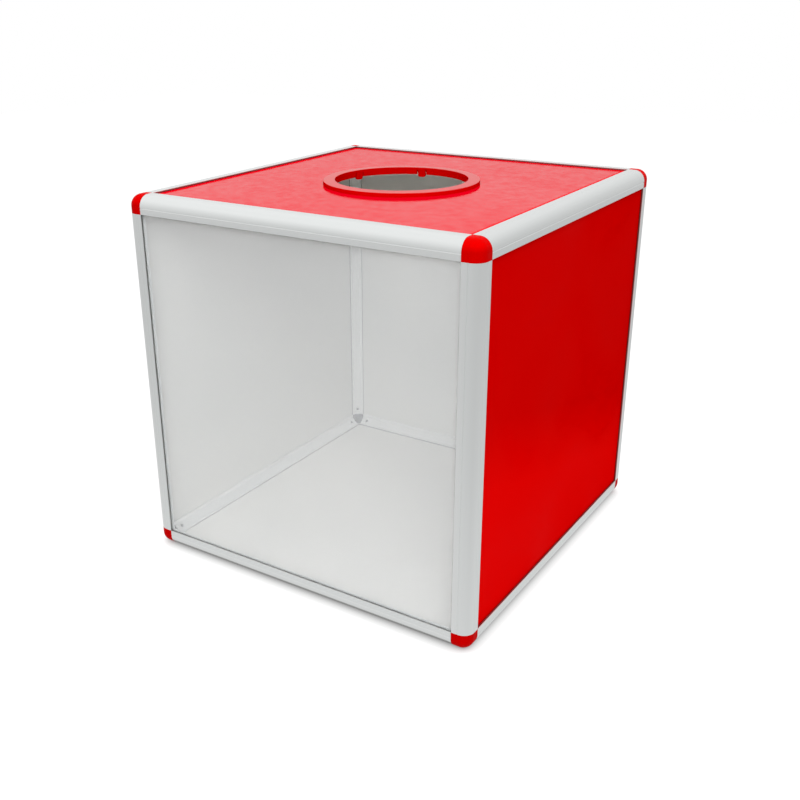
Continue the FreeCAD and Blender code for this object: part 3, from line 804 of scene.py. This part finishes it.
# %% Zinc-plated steel
ZINC_GREYS = ((0.50, 0.50, 0.48, 1), (0.60, 0.60, 0.59, 1))
POLISHED_ZINC = (0.8, 0.8, 0.79, 1)
RECESS_SHADE_BLACK = (0.02, 0.02, 0.02, 1)

screw_steel, add, place = new_finish("screw_steel")
grain = effect(add, grain_group, place, Scale=3000.0)
edge = effect(add, edge_group, place, Radius=0.12 * MM)
gap = effect(add, gap_group, place, Reach=1 * MM, Closed=0.4, Open=0.9, Anywhere=1.0)
bright_edged = mix_color(add, edge["Edge"], mix_color(add, grain["Tone"], *ZINC_GREYS), POLISHED_ZINC)
# The recess goes nearly black: painted shade.
color = mix_color(add, gap["Openness"], RECESS_SHADE_BLACK, bright_edged)
roughness = drift(add, grain["Tone"], 0.3, 0.42)
normal = bump(add, grain["Height"], 0.01 * MM, Normal=edge["Normal"])
finish_with(add, Base_Color=color, Metallic=1.0, Roughness=roughness, Normal=normal)
print(screw_steel.name, "made")

# %% One screw's sizes, and helpers for its mesh
HEAD_RADIUS = 1.8 * MM
HEAD_RIM = 0.2 * MM
HEAD_DEPTH = 1.0 * MM
SHANK_RADIUS = 1.1 * MM
SHANK_END = 5.0 * MM
TIP = 6.0 * MM
ROUND_STEPS = 24
CROSS_REACH = 1.2 * MM
CROSS_HALF_WIDTH = 0.42 * MM
CROSS_DEPTH = 0.9 * MM
CROSS_TAPER = 0.6


def ring(mesh, radius, z):
    """A ring of corners around the screw's axis."""
    angles = [2 * math.pi * step / ROUND_STEPS for step in range(ROUND_STEPS)]
    return [mesh.verts.new((radius * math.cos(angle), radius * math.sin(angle), z)) for angle in angles]


def cross(mesh, scale, z):
    """The twelve corners of a cross."""
    reach, half = CROSS_REACH * scale, CROSS_HALF_WIDTH * scale
    quarter = [(reach, -half), (reach, half), (half, half)]
    corners = []
    for _ in range(4):
        corners += quarter
        quarter = [(-y, x) for x, y in quarter]
    return [mesh.verts.new((x, y, z)) for x, y in corners]


def close_loop(mesh, corners):
    """The edges around a ring."""
    return [mesh.edges.new(pair) for pair in zip(corners, corners[1:] + corners[:1])]


def join(mesh, first, second):
    """A band of faces between two rings of the same count."""
    for number, corner in enumerate(first):
        following = (number + 1) % len(first)
        mesh.faces.new((corner, first[following], second[following], second[number]))


print("head width, head depth and length:", in_mm((2 * HEAD_RADIUS, HEAD_DEPTH, TIP)), "mm")

# %% One screw, its head's face at Z = 0 and its tip along +Z
mesh = bmesh.new()
rim = ring(mesh, HEAD_RADIUS, 0)
cross_top = cross(mesh, 1, 0)
bmesh.ops.triangle_fill(mesh, edges=close_loop(mesh, rim) + close_loop(mesh, cross_top), use_beauty=True)
cross_bottom = cross(mesh, CROSS_TAPER, CROSS_DEPTH)
join(mesh, cross_top, cross_bottom)
mesh.faces.new(cross_bottom)
last_ring = rim
for radius, z in ((HEAD_RADIUS, HEAD_RIM), (SHANK_RADIUS, HEAD_DEPTH), (SHANK_RADIUS, SHANK_END)):
    next_ring = ring(mesh, radius, z)
    join(mesh, last_ring, next_ring)
    last_ring = next_ring
tip = mesh.verts.new((0, 0, TIP))
for number, corner in enumerate(last_ring):
    mesh.faces.new((corner, last_ring[(number + 1) % ROUND_STEPS], tip))
bmesh.ops.recalc_face_normals(mesh, faces=mesh.faces)
screw_mesh = bpy.data.meshes.new("screw")
mesh.to_mesh(screw_mesh)
mesh.free()
one_screw = bpy.data.objects.new("one_screw", screw_mesh)
print("one screw:", len(screw_mesh.polygons), "faces")

# %% [markdown]
# The places of the screws
#
# Every profile has a slanted web inside, and each screw goes through it at right angles, towards the
# profile's rounded edge. Seen end on, the middle of the web lies equally far from both outer faces.
# So two distances, measured from the box's corners, place all the screws, and no list is needed.

# %% Twenty-four points, each with its direction
WEB_MIDDLE = 8.75 * MM
FROM_CORNER = 20.3 * MM
SIDES = (-1, 1)

places, ways = [], []
for along, first_side, second_side, end in product(range(3), SIDES, SIDES, SIDES):
    first, second = (along + 1) % 3, (along + 2) % 3
    place, way = Vector(), Vector()
    distances = (
        (first, first_side, WEB_MIDDLE), (second, second_side, WEB_MIDDLE), (along, end, FROM_CORNER))
    for axis, side, distance in distances:
        place[axis] = box_low[axis] + distance if side < 0 else box_high[axis] - distance
    way[first], way[second] = first_side, second_side
    places.append(place)
    ways.append(way.normalized())

points = bpy.data.meshes.new("screw_points")
points.from_pydata(places, [], [])
way_attribute = points.attributes.new("way", "FLOAT_VECTOR", "POINT")
for number, way in enumerate(ways):
    way_attribute.data[number].vector = way
screws = bpy.data.objects.new("screws", points)
bpy.context.scene.collection.objects.link(screws)
print(len(places), "screws")

# %% The tree that sets a screw on each point
tree = bpy.data.node_groups.new("set_screws", "GeometryNodeTree")
tree.interface.new_socket("Points", in_out="INPUT", socket_type="NodeSocketGeometry")
tree.interface.new_socket("Screw", in_out="INPUT", socket_type="NodeSocketObject")
tree.interface.new_socket("Sink", in_out="INPUT", socket_type="NodeSocketFloat")
tree.interface.new_socket("Turn seed", in_out="INPUT", socket_type="NodeSocketInt")
tree.interface.new_socket("Screws", in_out="OUTPUT", socket_type="NodeSocketGeometry")
add = adder(tree)
given = add("NodeGroupInput").outputs
way = add("GeometryNodeInputNamedAttribute", {"Name": "way"}, data_type="FLOAT_VECTOR").outputs["Attribute"]
driven = add("FunctionNodeAlignRotationToVector", {"Vector": way}, axis="Z").outputs["Rotation"]
angle = add("FunctionNodeRandomValue", {
    2: 0.0, 3: 2 * math.pi, "Seed": given["Turn seed"],
}, data_type="FLOAT").outputs[1]
twist = add("FunctionNodeAxisAngleToRotation", {"Axis": (0, 0, 1), "Angle": angle}).outputs["Rotation"]
turned = add("FunctionNodeRotateRotation", {"Rotation": driven, "Rotate By": twist}, rotation_space="LOCAL")
sunk = add("GeometryNodeSetPosition", {
    "Geometry": given["Points"],
    "Offset": add("ShaderNodeVectorMath", {0: way, 3: given["Sink"]}, operation="SCALE").outputs[0],
})
shape = add("GeometryNodeObjectInfo", {"Object": given["Screw"]}).outputs["Geometry"]
placed = add("GeometryNodeInstanceOnPoints", {
    "Points": sunk.outputs[0], "Instance": shape, "Rotation": turned.outputs["Rotation"],
})
real = add("GeometryNodeRealizeInstances", {"Geometry": placed.outputs["Instances"]})
painted = add("GeometryNodeSetMaterial", {"Geometry": real.outputs[0], "Material": screw_steel})
add("NodeGroupOutput", {"Screws": painted.outputs[0]})
print(tree.name, "with", len(tree.nodes), "nodes")

# %% Set them, and keep the result as a plain mesh
HEAD_SINK = 0.02 * MM
TURN_SEED = 4

setter = screws.modifiers.new("set_screws", "NODES")
setter.node_group = tree
sockets = {item.name: item.identifier for item in tree.interface.items_tree if item.in_out == "INPUT"}
setter[sockets["Screw"]] = one_screw
setter[sockets["Sink"]] = HEAD_SINK
setter[sockets["Turn seed"]] = TURN_SEED
evaluated = screws.evaluated_get(bpy.context.evaluated_depsgraph_get())
set_mesh = bpy.data.meshes.new_from_object(evaluated)
screws.modifiers.remove(setter)
screws.data = set_mesh
bpy.data.objects.remove(one_screw)
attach(screws, "box")
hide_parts("connector_screws")

# %% [markdown]
# The last step
#
# The plain Standard view shows each colour about as it is written.

# %% Finish
bpy.context.scene.view_settings.view_transform = "Standard"
